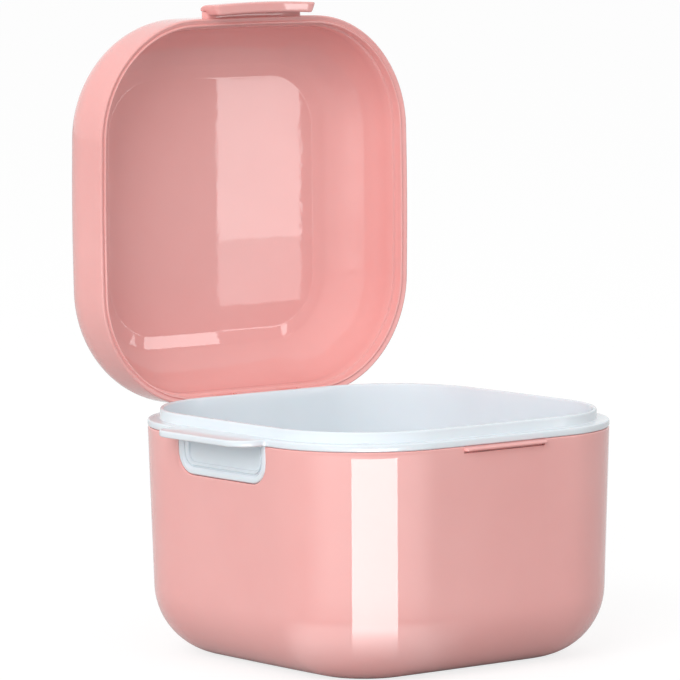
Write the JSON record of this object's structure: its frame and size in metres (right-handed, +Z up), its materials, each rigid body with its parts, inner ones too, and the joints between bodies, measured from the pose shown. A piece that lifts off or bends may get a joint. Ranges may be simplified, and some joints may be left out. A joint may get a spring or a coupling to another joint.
{
  "type": "denture case",
  "caption": "Square soaking box with soft corners, a lift-out drain basket with a finger tab, and a hinged lid with a flexing snap latch.",
  "frame": {"origin": "centre of the flat bottom of the case, where it stands", "axes": "+Z up; the latch and the catch bead face -Y, the hinge is at +Y, and the basket's lifting tab is at -X"},
  "size_m": [0.1022, 0.1162, 0.1554],
  "materials": {
    "pink_plastic": "polished moulded plastic",
    "white_plastic": "satin moulded plastic",
    "pin_steel": "drawn wire"
  },
  "bodies": {
    "case": {"outer_case": "pink_plastic", "hinge_pin": "pin_steel"},
    "basket": {"drain_basket": "white_plastic"},
    "lid": {"lid": "pink_plastic"},
    "latch": {"latch": "pink_plastic"}
  },
  "joints": [
    {"name": "lid_hinge", "type": "hinge", "parent": "case", "child": "lid", "pos_m": [0, 0.0472, 0.0576], "axis": [-1, 0, 0], "range_deg": [-90, 0]},
    {"name": "basket_lift", "type": "slide", "parent": "case", "child": "basket", "axis": [0, 0, 1], "range_m": [0, 0.08]},
    {"name": "latch_flex", "type": "hinge", "parent": "lid", "child": "latch", "pos_m": [0, 0.05063, 0.1537], "axis": [-1, 0, 0], "range_deg": [0, 8], "stiffness_Nm_per_rad": 0.1}
  ]
}
